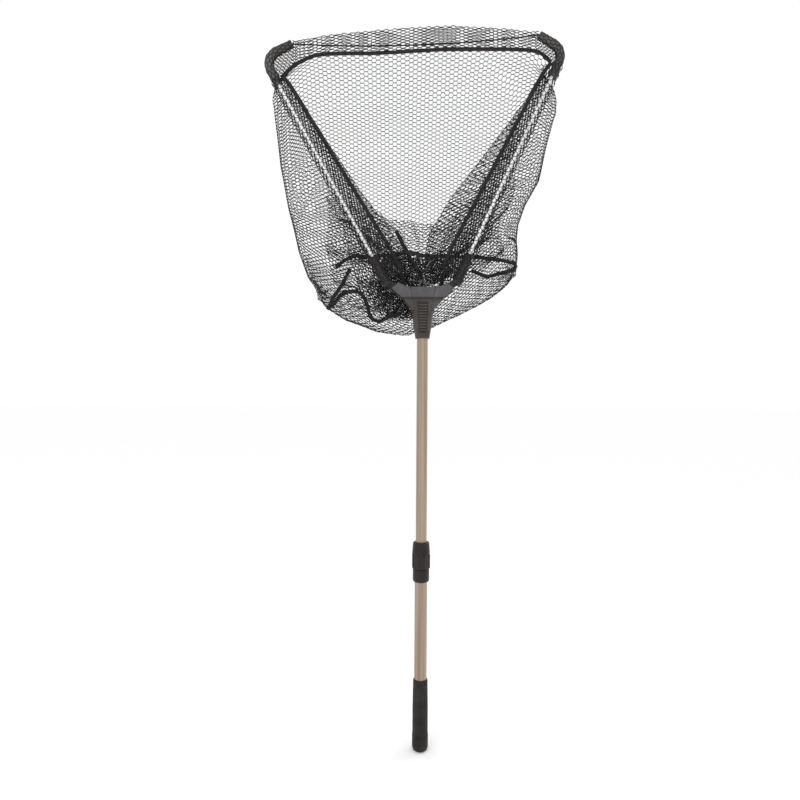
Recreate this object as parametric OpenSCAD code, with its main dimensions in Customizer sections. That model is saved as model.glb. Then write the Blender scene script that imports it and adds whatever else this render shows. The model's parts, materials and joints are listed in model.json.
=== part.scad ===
// Folding landing net: telescopic handle with a twist lock, a folding two-arm head, a cord across
// the mouth and a mesh bag hung from hems on the arms and the cord.
// Millimetres. Z runs up the handle's axis from the butt end, the mouth lies in the XZ plane and
// opens towards -Y, and the bag hangs behind it, towards +Y.

/* [Handle] */
// Outer diameter of the lower tube
lower_tube_d = 25; // [24.5:0.25:25.5]
// Outer diameter of the upper tube
upper_tube_d = 22; // [21.5:0.25:22]
// Wall thickness of both tubes
tube_wall = 1; // [0.8:0.1:1.2]
// Length of the rubber grip
grip_len = 142; // [110:1:180]
// Largest diameter of the grip, at its butt
grip_d = 32; // [31:0.5:36]
// Height of the twist collar's lower edge above the butt end
collar_z = 336; // [330:1:360]
// Height of the neck's lower edge above the butt end
neck_z = 821; // [780:1:860]

/* [Frame] */
// Open angle of the left arm from the handle's axis
left_angle = 29; // [27:0.5:29]
// Open angle of the right arm from the handle's axis
right_angle = 24.5; // [24.5:0.5:27]
// Diameter of the arm rods
rod_d = 8; // [7:0.5:8]
// Length of rod that shows between socket and corner cap
rod_show = 392; // [300:1:400]
// Elbow turn of the left corner cap
left_turn = 92; // [84:1:94]
// Elbow turn of the right corner cap
right_turn = 82; // [78:1:92]
// Diameter of the cord across the mouth
cord_d = 2.5; // [2:0.5:3]
// Sag of the cord at its middle
cord_sag = 11; // [4:1:14]

/* [Net] */
// Depth of the hanging bag behind the frame
bag_depth = 135; // [110:1:160]
// Thickness of the mesh wall
mesh_wall = 1.2; // [1:0.1:1.6]
// Width of the binding tapes
tape_w = 7; // [5:0.5:9]

/* [Hidden] */
$fn = 64;

LEFT = -1;
RIGHT = 1;
bite = 1;                              // how far a cutter runs past the face it cuts

// Handle
glue_gap = 0.05;                       // radial room between pieces that are glued or pressed
run_gap = 0.08;                        // radial room between pieces that slide or turn
tube_foot = 8;                         // the lower tube stands this high in the grip's end
butt_face_d = 22;                      // flat face at the very end of the grip
band_z = [8, 30];                      // true cylinder at the grip's butt
grip_top_d = 29;
plug_top = 30;
collar_d = 33;
collar_h = 26;
nut_z = collar_z + collar_h + 0.4;
nut_h = 52.6;
nose_d = 26.8;
nose_h = 22;
lower_tube_top = collar_z + 16;
upper_tube_foot = 290;
neck_h = 60;
shoulder_z = neck_z + neck_h;          // where the neck meets the head's shells
upper_tube_top = shoulder_z - 9;

// Head: outlines are [x, z] above the neck's lower edge
half_depth = 15;                       // front and back faces of the head
slot_half = 6.8;                       // half the slot that the arm hubs turn in
hub_half = 6.2;
hub_r = 10;
pivot = [18, 76];                      // pivot pin, above the neck's lower edge
pin_d = 5;
shell_foot = 55;
wing = [[24, 101], [36, 103], [48, 109], [62, 98], [39, 79], [32, 69], [23, 60],
        [21.5, shell_foot]];
post_half = 5;
post_top = 97;
floor_top = 65;
seam_top = 25;                         // half the distance between the V seams, at the top
seam_foot = 15.5;                      // and at the shoulder
ridge_z = 79;                          // line where the upper band of the cover starts
screw_at = [[0, 87], [-15, 59], [15, 59]];

// Thumb slider
pad_z = [11, 71];
pad_half = [6.5, 10.5];
rib_count = 10;
rib_pitch = 5.5;
slot_z = [17, 40];
lug_z = [34, 39];
slider_face = half_depth + 0.25;
spring_y = -13.3;

// Arms, in their own frame: pivot at [0, 0], rod along z
rod_x = 30;                            // the rod stands this far outside the pivot
socket_z = [50, 115];
socket_d = [20, 18];
rod_foot = 85;
cap_foot = socket_z[1] + rod_show;
cap_d = 16;
cap_end_d = 13;        // at the cord's end
cap_leg = 34;
cap_swell = 0.25;                      // the bend stands this proud of its two legs
cap_bend = 27;
cap_reach = 35;
rod_top = cap_foot + 24;
rivet_d = 3;
rivet_z = [100, cap_foot + 12];

// Hems
hem_half = 5.5;
hem_skin = 0.8;
arm_hem_in = [-4, 15];                 // inner edge of the arm's hem at its foot and at its top
arm_hem_out = rod_x + 12;
front_hem_top = [[-250, 1416], [-184, 1428], [-44, 1442], [56, 1447], [156, 1442], [221, 1436]];
front_hem_foot = [[-250, 1371], [-204, 1386], [-84, 1396], [36, 1404], [106, 1405], [221, 1392]];

// Bag: its outline seen from the front, then its depth layers as [share of the depth, scale]
bag_front = 18.5;
bag_mid = [-15, 1120];
bag_outline = [[-230, 1372], [-286, 1335], [-306, 1284], [-296, 1182], [-281, 1100], [-259, 1009],
               [-236, 945], [-205, 892], [-158, 862], [-96, 842], [-30, 835], [26, 851], [85, 880],
               [138, 907], [180, 935], [197, 957], [203, 1023], [208, 1070], [222, 1110],
               [250, 1162], [262, 1222], [278, 1294], [262, 1342], [215, 1388], [0, 1398]];
bag_layers = [[0, 0.985], [0.22, 1], [0.55, 0.97], [0.83, 0.86], [1, 0.62]];
mouth = [[-252, 1338], [-42, 972], [0, 955], [26, 962], [214, 1340], [190, 1376], [-200, 1366]];
rim_front = 7;

// Seams across the foot of the bag, as the tape lies on its inner side
seam_layer = bag_front + mesh_wall + 2;
seams = [[[-168, 962], [-144, 974], [-100, 984], [36, 984], [130, 986], [182, 976]],
         [[170, 954], [132, 944], [84, 956]],
         [[-190, 892], [-158, 924], [-128, 966]],
         [[-176, 896], [-134, 912], [-104, 882], [-60, 872]]];

function unit(v) = v / norm(v);
function side_normal(v) = [-v[1], v[0]];
function along(p, i) = unit(p[min(i + 1, len(p) - 1)] - p[max(i - 1, 0)]);
function shifted(p, d) = [for (i = [0 : len(p) - 1]) p[i] + d * side_normal(along(p, i))];
function backwards(p) = [for (i = [len(p) - 1 : -1 : 0]) p[i]];
function ribbon(p, w) = concat(shifted(p, w / 2), backwards(shifted(p, -w / 2)));
function mirrored(p) = [for (q = p) [-q[0], q[1]]];
function open_angle(side) = side == LEFT ? left_angle : right_angle;
function cap_turn(side) = side == LEFT ? left_turn : right_turn;

// End of a corner cap's centre line, in the arm's frame and then in the net's
function cap_end_local(side) = let (t = cap_turn(side))
    [rod_x - cap_bend + cap_bend * cos(t) - cap_reach * sin(t),
     cap_foot + cap_leg + cap_bend * sin(t) + cap_reach * cos(t)];
function to_frame(side, p) = let (a = open_angle(side))
    [side * (pivot[0] + p[0] * cos(a) + p[1] * sin(a)),
     neck_z + pivot[1] - p[0] * sin(a) + p[1] * cos(a)];

// A ring of a swept tube; its tangent never points along Y
function ring(p, t, r, n) = let (s = unit(cross([0, 1, 0], t)))
    [for (k = [0 : n - 1]) p + r * (cos(360 * k / n) * s + sin(360 * k / n) * unit(cross(t, s)))];

// Places [x, z] shapes upright between two depths
module slab(y0, y1) {
    translate([0, y1, 0]) rotate([90, 0, 0]) linear_extrude(y1 - y0) children();
}

module rod_along_y(at, d, y0, y1) {
    translate([at[0], y1, at[1]]) rotate([90, 0, 0]) cylinder(d = d, h = y1 - y0);
}

// Puts a piece drawn in an arm's own frame in its open place
module on_side(side) {
    mirror([side == LEFT ? 1 : 0, 0, 0])
        translate([pivot[0], 0, neck_z + pivot[1]])
            rotate([0, open_angle(side), 0]) children();
}

module head_frame() {
    translate([0, 0, neck_z]) children();
}

module pipe(d, wall, z0, z1) {
    difference() {
        translate([0, 0, z0]) cylinder(d = d, h = z1 - z0);
        translate([0, 0, z0 - bite]) cylinder(d = d - 2 * wall, h = z1 - z0 + 2 * bite);
    }
}

module sweep(points, r, n = 8) {
    count = len(points);
    rings = [for (i = [0 : count - 1])
        ring(points[i], unit(points[min(i + 1, count - 1)] - points[max(i - 1, 0)]), r, n)];
    sides = [for (i = [0 : count - 2]) for (k = [0 : n - 1])
        [i * n + k, (i + 1) * n + k, (i + 1) * n + (k + 1) % n, i * n + (k + 1) % n]];
    ends = [[for (k = [0 : n - 1]) k], [for (k = [n - 1 : -1 : 0]) (count - 1) * n + k]];
    polyhedron([for (r = rings) for (p = r) p], concat(sides, ends));
}

// ---- Lower handle ----

module grip() {
    color("#303032") difference() {
        rotate_extrude() polygon([[0, 0], [butt_face_d / 2, 0], [grip_d / 2 - 1.6, 2.4],
            [grip_d / 2, band_z[0]], [grip_d / 2, band_z[1]], [grip_d / 2 - 0.6, band_z[1] + 8],
            [grip_d / 2 - 0.6, grip_len * 0.6], [grip_top_d / 2, grip_len - 3],
            [grip_top_d / 2 - 1, grip_len], [0, grip_len]]);
        translate([0, 0, tube_foot])
            cylinder(d = lower_tube_d + 2 * glue_gap, h = grip_len);
    }
}

module butt_plug() {
    color("#1d1d1f") difference() {
        translate([0, 0, tube_foot + glue_gap])
            cylinder(d = lower_tube_d - 2 * tube_wall - 2 * glue_gap, h = plug_top - tube_foot);
        translate([0, 0, tube_foot + 4]) cylinder(d = 14, h = plug_top);
    }
}

module lower_tube() {
    color("#a08c78") pipe(lower_tube_d, tube_wall, tube_foot + glue_gap, lower_tube_top);
}

module collar_base() {
    color("#3a3634") translate([0, 0, collar_z]) difference() {
        union() {
            rotate_extrude() polygon([[0, 0], [collar_d / 2 - 2.5, 0], [collar_d / 2 - 0.6, 1.6],
                [collar_d / 2, 4], [collar_d / 2, collar_h - 1], [collar_d / 2 - 1, collar_h],
                [0, collar_h]]);
            cylinder(d = nose_d, h = collar_h + nose_h);
        }
        translate([0, 0, -bite]) cylinder(d = lower_tube_d + 2 * glue_gap,
                                          h = lower_tube_top - collar_z + glue_gap + bite);
        cylinder(d = upper_tube_d + 4 * run_gap, h = collar_h + nose_h + bite);
    }
}

// Split ring that the nut squeezes onto the upper tube
module collet() {
    color("#c9c4b8") translate([0, 0, collar_z + collar_h + nose_h + 0.5]) difference() {
        rotate_extrude() polygon([[upper_tube_d / 2 + run_gap, 0], [nose_d / 2 - 0.4, 0],
            [nose_d / 2 - 0.4, 8], [nose_d / 2 - 1, 15], [upper_tube_d / 2 + run_gap, 15]]);
        translate([0, -1, -bite]) cube([nose_d, 2, 15 + 2 * bite]);
    }
}

module lock_nut() {
    lobes = 8;
    lobe_z = [2, 29];
    color("#38322f") translate([0, 0, nut_z]) difference() {
        union() {
            rotate_extrude() polygon([[0, 0], [16.6, 0], [17.4, 1.2], [17.4, 30], [18, 31.5],
                [17.6, 34], [16.6, nut_h - 5], [16.2, nut_h - 1.4], [14.8, nut_h], [0, nut_h]]);
            for (k = [0 : lobes - 1]) rotate([0, 0, (k + 0.5) * 360 / lobes])
                translate([15.6, 0, lobe_z[0]]) cylinder(d = 6.8, h = lobe_z[1] - lobe_z[0]);
        }
        translate([0, 0, -bite]) cylinder(d = nose_d + 0.8, h = 38 + bite);
        cylinder(d = upper_tube_d + 0.8, h = nut_h + bite);
    }
}

// ---- Upper handle and head ----

module upper_tube() {
    color("#bfae9a") difference() {
        pipe(upper_tube_d, tube_wall, upper_tube_foot, upper_tube_top);
        translate([-upper_tube_d, 0, neck_z + 24]) rotate([0, 90, 0])
            cylinder(d = 4.1, h = 2 * upper_tube_d);
    }
}

// Bush in the upper tube's foot that guides it in the lower tube
module guide_bush() {
    color("#e6e1d6") difference() {
        translate([0, 0, upper_tube_foot - 12]) union() {
            cylinder(d = lower_tube_d - 2 * tube_wall - 2 * run_gap, h = 12 - glue_gap);
            cylinder(d = upper_tube_d - 2 * tube_wall - 2 * glue_gap, h = 24);
        }
        translate([0, 0, upper_tube_foot - 12 - bite]) cylinder(d = 13, h = 24 + 2 * bite);
    }
}

module head_outline() {
    polygon(concat(wing, backwards(mirrored(wing))));
}

module pin_holes(d, y0, y1) {
    for (side = [LEFT, RIGHT]) rod_along_y([side * pivot[0], pivot[1]], d, y0, y1);
}

module head_body() {
    color("#4d4a47") head_frame() difference() {
        union() {
            slab(slot_half, half_depth) head_outline();
            slab(-slot_half + glue_gap, slot_half + bite) polygon([[-23, shell_foot],
                [23, shell_foot], [23, 60], [32, 69], [30, 70.5], [20, floor_top],
                [-20, floor_top], [-30, 70.5], [-32, 69], [-23, 60]]);
            slab(-slot_half + glue_gap, slot_half + bite) polygon([[-post_half, floor_top - bite],
                [post_half, floor_top - bite], [post_half, post_top], [-post_half, post_top]]);
            intersection() {
                cylinder(d1 = 28.5, d2 = 46, h = neck_h);
                translate([-40, -half_depth, 0]) cube([80, 2 * half_depth, shell_foot]);
            }
        }
        translate([0, 0, -bite]) cylinder(d = upper_tube_d + 2 * glue_gap,
                                          h = upper_tube_top - neck_z + glue_gap + bite);
        pin_holes(pin_d + 2 * glue_gap, 0, 12.1);
        for (p = screw_at) {
            rod_along_y(p, 3.1, -half_depth, half_depth + bite);
            rod_along_y(p, 6.2, half_depth - 2.5, half_depth + bite);
        }
        translate([-30, 0, 24]) rotate([0, 90, 0]) cylinder(d = 4.1, h = 60);
        slab(-half_depth - bite, -10) polygon([[-2, slot_z[0]], [2, slot_z[0]],
                                               [2, slot_z[1]], [-2, slot_z[1]]]);
    }
}

module head_cover() {
    seam = [[seam_top, 103], [seam_foot, shell_foot]];
    color("#5d5b5c") head_frame() difference() {
        union() {
            slab(-half_depth, -slot_half) head_outline();
            slab(-half_depth - 1.2, -half_depth + bite) intersection() {
                head_outline();
                translate([-80, ridge_z]) square([160, 60]);
            }
        }
        for (line = [seam, mirrored(seam)])
            slab(-half_depth - 2, -half_depth + 0.8) polygon(ribbon(line, 1));
        pin_holes(pin_d + 2 * glue_gap, -12.1, 0);
        for (p = screw_at) rod_along_y(p, 3.1, -12, 0);
    }
}

module cover_screws() {
    color("#8d8f92") head_frame() for (p = screw_at) {
        rod_along_y(p, 3, -11.5, half_depth - 1.9);
        difference() {
            rod_along_y(p, 5.8, half_depth - 2.4, half_depth - 0.3);
            slab(half_depth - 1.2, half_depth + bite) translate(p) {
                square([3.6, 0.9], center = true);
                square([0.9, 3.6], center = true);
            }
        }
    }
}

module neck_rivet() {
    head_x = 18.3;                     // clear of the cone all round the rivet's head
    color("#8d8f92") head_frame() translate([0, 0, 24]) rotate([0, 90, 0]) {
        translate([0, 0, -head_x - 0.5]) cylinder(d = 4, h = 2 * head_x + 1);
        for (m = [0, 1]) mirror([0, 0, m]) translate([0, 0, head_x]) cylinder(d = 6.5, h = 1);
    }
}

// Ribbed thumb pad; pulled down it lets the arms fold
module thumb_slider() {
    color("#4a4744") head_frame() {
        slab(-slider_face - 1.6, -slider_face) polygon([[-pad_half[0], pad_z[0]],
            [pad_half[0], pad_z[0]], [pad_half[1], pad_z[1]], [-pad_half[1], pad_z[1]]]);
        for (i = [0 : rib_count - 1]) {
            z = pad_z[0] + 3 + i * rib_pitch;
            half = pad_half[0] - 0.8 + (pad_half[1] - pad_half[0]) * i / rib_count;
            translate([-half, -slider_face - 2.8, z]) cube([2 * half, 1.3, 2.6]);
        }
        slab(-slider_face - bite, -12) polygon([[-1.7, lug_z[0]], [1.7, lug_z[0]],
                                                [1.7, lug_z[1]], [-1.7, lug_z[1]]]);
    }
}

module slider_spring() {
    turns = 6;
    steps = 8;
    r = 1.15;
    foot = slot_z[0] + 0.5;
    top = lug_z[0] - 0.5;
    color("#b9bcc0") head_frame() sweep([for (i = [0 : turns * steps])
        [r * cos(360 * i / steps), spring_y + r * sin(360 * i / steps),
         foot + (top - foot) * i / (turns * steps)]], 0.3, 5);
}

module pivot_pin(side) {
    color("#a9acb0") head_frame()
        rod_along_y([side * pivot[0], pivot[1]], pin_d, -12, 12);
}

// Triangular eye that the net's apex is tied to
module net_eye() {
    color("#5d5b5c") head_frame() slab(-2.5, 2.5) difference() {
        polygon([[-10, post_top + 0.1], [10, post_top + 0.1], [10, 103], [4, 117], [-4, 117],
                 [-10, 103]]);
        polygon([[-5.6, 103.5], [5.6, 103.5], [1.8, 113], [-1.8, 113]]);
    }
}

module apex_tie() {
    color("#232224") head_frame() translate([0, 0, 116]) rotate([0, 90, 0])
        rotate_extrude() translate([6.2, 0]) circle(d = 2.4, $fn = 24);
}

// ---- Arms ----

module arm_socket(side) {
    color("#3f3c3a") on_side(side) difference() {
        union() {
            rod_along_y([0, 0], 2 * hub_r, -hub_half, hub_half);
            slab(-hub_half, hub_half) hull() {
                circle(r = 7, $fn = 32);
                translate([rod_x - 1, 56]) circle(r = 7, $fn = 32);
            }
            translate([rod_x, 0, socket_z[0]]) cylinder(d1 = socket_d[0], d2 = socket_d[1],
                                                        h = socket_z[1] - socket_z[0]);
        }
        rod_along_y([0, 0], pin_d + 2 * run_gap, -hub_half - bite, hub_half + bite);
        translate([rod_x, 0, rod_foot - glue_gap])
            cylinder(d = rod_d + 2 * glue_gap, h = socket_z[1]);
        rod_along_y([rod_x, rivet_z[0]], rivet_d + 0.1, -20, 20);
    }
}

module arm_rod(side) {
    color("#d8dade") on_side(side) difference() {
        translate([rod_x, 0, 0]) pipe(rod_d, 1, rod_foot, rod_top);
        for (z = rivet_z) rod_along_y([rod_x, z], rivet_d + 0.1, -rod_d, rod_d);
    }
}

module arm_rivets(side) {
    color("#8d8f92") on_side(side) {
        rod_along_y([rod_x, rivet_z[0]], rivet_d, -10.2, 10.2);
        rod_along_y([rod_x, rivet_z[1]], rivet_d, -8.8, 8.8);
    }
}

module corner_cap(side) {
    turn = cap_turn(side);
    color("#454341") on_side(side) difference() {
        union() {
            translate([rod_x, 0, cap_foot]) cylinder(d = cap_d, h = cap_leg + bite);
            translate([rod_x - cap_bend, 0, cap_foot + cap_leg]) {
                rotate([90, 0, 0]) rotate_extrude(angle = turn)
                    translate([cap_bend, 0]) circle(d = cap_d + 2 * cap_swell);
                rotate([0, -turn, 0]) translate([cap_bend, 0, -bite])
                    cylinder(d1 = cap_d, d2 = cap_end_d, h = cap_reach + bite);
            }
        }
        translate([rod_x, 0, cap_foot - bite])
            cylinder(d = rod_d + 2 * glue_gap, h = rod_top - cap_foot + glue_gap + bite);
        translate([rod_x - cap_bend, 0, cap_foot + cap_leg]) rotate([0, -turn, 0])
            translate([cap_bend, 0, cap_reach - 20]) cylinder(d = cord_d + 1.2, h = 20 + bite);
        rod_along_y([rod_x, rivet_z[1]], rivet_d + 0.1, -cap_d, cap_d);
    }
}

// ---- Soft parts ----

function hem_line(inset) = [[arm_hem_in[0] + inset, socket_z[1] + 3],
                            [arm_hem_in[1] + inset, cap_foot - 4]];

module arm_hem(side) {
    foot = hem_line(0)[0];
    top = hem_line(0)[1];
    color("#232224") on_side(side) difference() {
        slab(-hem_half, hem_half) polygon([foot, [arm_hem_out, foot[1]], [arm_hem_out, top[1]],
                                           top]);
        slab(-hem_half + hem_skin, hem_half - hem_skin) polygon([foot + [hem_skin, -bite],
            [arm_hem_out - hem_skin, foot[1] - bite], [arm_hem_out - hem_skin, top[1] + bite],
            top + [hem_skin, bite]]);
    }
}

module arm_hem_tape(side) {
    color("#2c2a2c") on_side(side) slab(-1.5, 1.5)
        polygon(ribbon(hem_line(-tape_w / 2 - 0.4), tape_w));
}

module front_cord() {
    ends = [to_frame(LEFT, cap_end_local(LEFT)), to_frame(RIGHT, cap_end_local(RIGHT))];
    steps = 24;
    color("#1b1b1d") sweep([for (i = [0 : steps]) let (t = i / steps,
        p = ends[0] * (1 - t) + ends[1] * t) [p[0], 0, p[1] - 4 * cord_sag * t * (1 - t)]],
        cord_d / 2);
}

module front_hem() {
    top = shifted(front_hem_top, -hem_skin);
    foot = shifted(front_hem_foot, hem_skin);
    color("#232224") difference() {
        slab(-hem_half, hem_half) polygon(concat(front_hem_top, backwards(front_hem_foot)));
        slab(-hem_half + hem_skin, hem_half - hem_skin) polygon(concat(
            [top[0] - [bite, 0]], top, [top[len(top) - 1] + [bite, 0]],
            [foot[len(foot) - 1] + [bite, 0]], backwards(foot), [foot[0] - [bite, 0]]));
    }
}

module front_hem_tape() {
    color("#2c2a2c") slab(-1.5, 1.5)
        polygon(ribbon(shifted(front_hem_foot, -tape_w / 2 - 0.4), tape_w));
}

// One closed lofted body; inset moves its surface inwards
module bag_loft(inset) {
    n = len(bag_outline);
    last = len(bag_layers) - 1;
    points = [for (j = [0 : last]) for (p = bag_outline)
        let (layer = bag_layers[j],
             q = bag_mid + (p - bag_mid) * layer[1] - inset * unit(p - bag_mid),
             y = bag_front + layer[0] * (bag_depth - bag_front))
        [q[0], j == 0 ? y + inset : j == last ? y - inset : y, q[1]]];
    sides = [for (j = [0 : last - 1]) for (k = [0 : n - 1]) for (half = [0, 1])
        half == 0 ? [j * n + k, j * n + (k + 1) % n, (j + 1) * n + k]
                  : [j * n + (k + 1) % n, (j + 1) * n + (k + 1) % n, (j + 1) * n + k]];
    polyhedron(points, concat(sides, [[for (k = [n - 1 : -1 : 0]) k]],
                              [[for (k = [0 : n - 1]) last * n + k]]));
}

module bag_shell() {
    difference() {
        bag_loft(0);
        bag_loft(mesh_wall);
    }
}

function layer_y(j) = bag_front + bag_layers[j][0] * (bag_depth - bag_front);
function layer_outline(j) = [for (p = bag_outline) bag_mid + (p - bag_mid) * bag_layers[j][1]];

// The part of the shell between two depths
module shell_between(y0, y1) {
    color("#2a292b", 0.5) intersection() {
        bag_shell();
        slab(y0, y1) translate([-400, 700]) square([800, 800]);
    }
}

// Front of the bag with the mouth in it, and the rim that reaches forward to the hems
module bag_front_panel() {
    color("#2a292b", 0.5) {
        slab(bag_front, bag_front + mesh_wall) difference() {
            polygon(layer_outline(0));
            polygon(mouth);
        }
        slab(rim_front, bag_front) difference() {
            offset(delta = mesh_wall) polygon(mouth);
            polygon(mouth);
        }
    }
}

module bag_side_panel() {
    shell_between(bag_front + mesh_wall + glue_gap, layer_y(2));
}

module bag_shoulder_panel() {
    shell_between(layer_y(2) + glue_gap, bag_depth - mesh_wall - glue_gap);
}

module bag_back_panel() {
    color("#2a292b", 0.5) slab(bag_depth - mesh_wall, bag_depth) polygon(layer_outline(4));
}

module bag_seam_tape() {
    color("#1f1e20") for (i = [0 : len(seams) - 1])
        slab(seam_layer + 2 * i, seam_layer + 2 * i + 1.2) polygon(ribbon(seams[i], tape_w));
}

grip();
butt_plug();
lower_tube();
collar_base();
collet();
lock_nut();
upper_tube();
guide_bush();
head_body();
head_cover();
cover_screws();
neck_rivet();
thumb_slider();
slider_spring();
pivot_pin(LEFT);  // left_pivot_pin
pivot_pin(RIGHT);  // right_pivot_pin
net_eye();
apex_tie();
arm_socket(LEFT);  // left_arm_socket
arm_rod(LEFT);  // left_rod
arm_rivets(LEFT);  // left_rivets
corner_cap(LEFT);  // left_corner_cap
arm_hem(LEFT);  // left_hem
arm_hem_tape(LEFT);  // left_hem_tape
arm_socket(RIGHT);  // right_arm_socket
arm_rod(RIGHT);  // right_rod
arm_rivets(RIGHT);  // right_rivets
corner_cap(RIGHT);  // right_corner_cap
arm_hem(RIGHT);  // right_hem
arm_hem_tape(RIGHT);  // right_hem_tape
front_cord();
front_hem();
front_hem_tape();
bag_front_panel();
bag_side_panel();
bag_shoulder_panel();
bag_back_panel();
bag_seam_tape();
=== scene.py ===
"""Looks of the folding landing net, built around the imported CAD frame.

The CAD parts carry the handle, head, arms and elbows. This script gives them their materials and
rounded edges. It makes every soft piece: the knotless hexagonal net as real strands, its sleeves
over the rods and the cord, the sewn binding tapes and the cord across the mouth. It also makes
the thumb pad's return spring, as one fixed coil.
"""

import json
import math

import bpy
import numpy as np
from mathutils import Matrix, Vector, noise


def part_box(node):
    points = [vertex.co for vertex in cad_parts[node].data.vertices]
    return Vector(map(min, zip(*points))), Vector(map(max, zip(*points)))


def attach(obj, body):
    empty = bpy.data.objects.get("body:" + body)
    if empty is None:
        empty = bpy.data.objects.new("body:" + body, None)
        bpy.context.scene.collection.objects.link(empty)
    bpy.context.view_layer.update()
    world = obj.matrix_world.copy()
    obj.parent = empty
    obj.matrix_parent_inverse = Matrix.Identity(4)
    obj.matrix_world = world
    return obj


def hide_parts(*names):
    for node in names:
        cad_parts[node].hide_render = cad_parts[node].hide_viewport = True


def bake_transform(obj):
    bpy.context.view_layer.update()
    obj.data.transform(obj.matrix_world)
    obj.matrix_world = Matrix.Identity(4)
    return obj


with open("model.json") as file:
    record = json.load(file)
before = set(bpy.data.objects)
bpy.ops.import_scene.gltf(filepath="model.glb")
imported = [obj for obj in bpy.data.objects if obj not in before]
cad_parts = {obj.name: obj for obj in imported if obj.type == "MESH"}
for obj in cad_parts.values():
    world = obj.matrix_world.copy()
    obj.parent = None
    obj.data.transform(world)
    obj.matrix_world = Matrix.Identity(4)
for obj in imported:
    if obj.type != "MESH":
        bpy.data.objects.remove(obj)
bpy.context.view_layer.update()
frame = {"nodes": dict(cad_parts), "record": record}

MM = 0.001
SIDES = {"left": -1.0, "right": 1.0}

# Net: flat-topped hexagons. A bar is the thick twisted strand, a leg the thin one.
CELL_ACROSS = 8.4 * MM     # from one column of bars to the next
CELL_DOWN = 8.3 * MM       # from one bar to the next in a column
BAR_LENGTH = 5.2 * MM
BAR_RADIUS = 0.88 * MM
LEG_RADIUS = 0.56 * MM
TAPE_WIDTH = 7.8 * MM
TAPE_THICK = 1.3 * MM
STITCH_PITCH = 4.0 * MM
STITCH_SHARE = 0.68        # share of the pitch that a stitch takes
STITCH_RADIUS = 0.22 * MM


# ---- Points and curves ----

def smooth(x):
    x = np.clip(x, 0.0, 1.0)
    return x * x * (3.0 - 2.0 * x)


def mesh_points(mesh):
    points = np.zeros(len(mesh.vertices) * 3, np.float32)
    mesh.vertices.foreach_get("co", points)
    return points.reshape(-1, 3).astype(float)


def node_points(name):
    return mesh_points(frame["nodes"][name].data)


def in_space(flat, y=0.0):
    """Points [x, z] of the mouth's plane, put at a depth."""
    return np.stack([flat[:, 0], np.broadcast_to(y, len(flat)), flat[:, 1]], 1)


def along_path(points):
    """Distance from the first point to each point of a path."""
    steps = np.linalg.norm(np.diff(points, axis=0), axis=1)
    return np.concatenate([[0.0], np.cumsum(steps)])


def at_distance(points, s, d):
    """Points at the distances d along a path whose own points are at the distances s."""
    return np.stack([np.interp(d, s, points[:, k]) for k in range(points.shape[1])], 1)


def resampled(points, count):
    """The same path with evenly spaced points."""
    s = along_path(points)
    return at_distance(points, s, np.linspace(0.0, s[-1], count))


def rounded(points, count):
    """A smooth curve through a few points (Catmull-Rom), evenly sampled."""
    p = np.asarray(points, float)
    ends = [2 * p[0] - p[1], 2 * p[-1] - p[-2]]
    q = np.vstack([ends[0], p, ends[1]])
    t = np.linspace(0.0, 1.0, 12, endpoint=False)[:, None]
    spans = []
    for i in range(1, len(q) - 2):
        a, b, c, d = q[i - 1], q[i], q[i + 1], q[i + 2]
        spans.append(0.5 * (2 * b + (c - a) * t + (2 * a - 5 * b + 4 * c - d) * t ** 2
                            + (3 * b - a - 3 * c + d) * t ** 3))
    spans.append(p[-1:])
    return resampled(np.vstack(spans), count)


def waves(points, scale, seed):
    """Smooth noise from -1 to 1 at each point."""
    shift = Vector((seed * 7.3, seed * 3.1, seed * 5.7))
    scaled = np.asarray(points) / scale
    return np.array([noise.noise(Vector(p) + shift) for p in scaled])


# ---- Frame of each arm: x outwards from the pivot, z along the rod ----

class Arm:
    def __init__(self, name):
        self.name = name
        self.sign = SIDES[name]
        low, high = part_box(f"{name}_pivot_pin")
        self.pivot = np.array([(low.x + high.x) / 2, (low.z + high.z) / 2])
        rod = node_points(f"{name}_rod")[:, [0, 2]]
        centre = rod.mean(0)
        direction = np.linalg.svd(rod - centre, full_matrices=False)[2][0]
        self.along = direction * np.sign(direction[1])
        self.out = np.array([self.along[1], -self.along[0]]) * self.sign
        self.angle = math.atan2(self.along[0] * self.sign, self.along[1])
        self.rod_x = self.local(rod)[:, 0].mean()
        hem = self.node(f"{name}_hem")
        self.hem_foot, self.hem_top = hem[:, 1].min(), hem[:, 1].max()
        at_foot = hem[:, 1] < self.hem_foot + MM
        at_top = hem[:, 1] > self.hem_top - MM
        self.hem_inner = (hem[at_foot, 0].min(), hem[at_top, 0].min())
        self.hem_outer = hem[:, 0].max()
        cap = self.node(f"{name}_corner_cap")
        self.cap_foot = cap[:, 1].min()

    def local(self, points):
        rel = np.asarray(points) - self.pivot
        return np.stack([rel @ self.out, rel @ self.along], -1)

    def world(self, points):
        p = np.asarray(points, float)
        return self.pivot + p[..., 0:1] * self.out + p[..., 1:2] * self.along

    def node(self, name):
        return self.local(node_points(name)[:, [0, 2]])

    def inner_edge(self, z):
        """Inner edge of the sleeve at a height along the rod."""
        return np.interp(z, [self.hem_foot, self.hem_top], self.hem_inner)


ARMS = {name: Arm(name) for name in SIDES}


# ---- Lines of the mouth, as [x, z] ----

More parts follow.
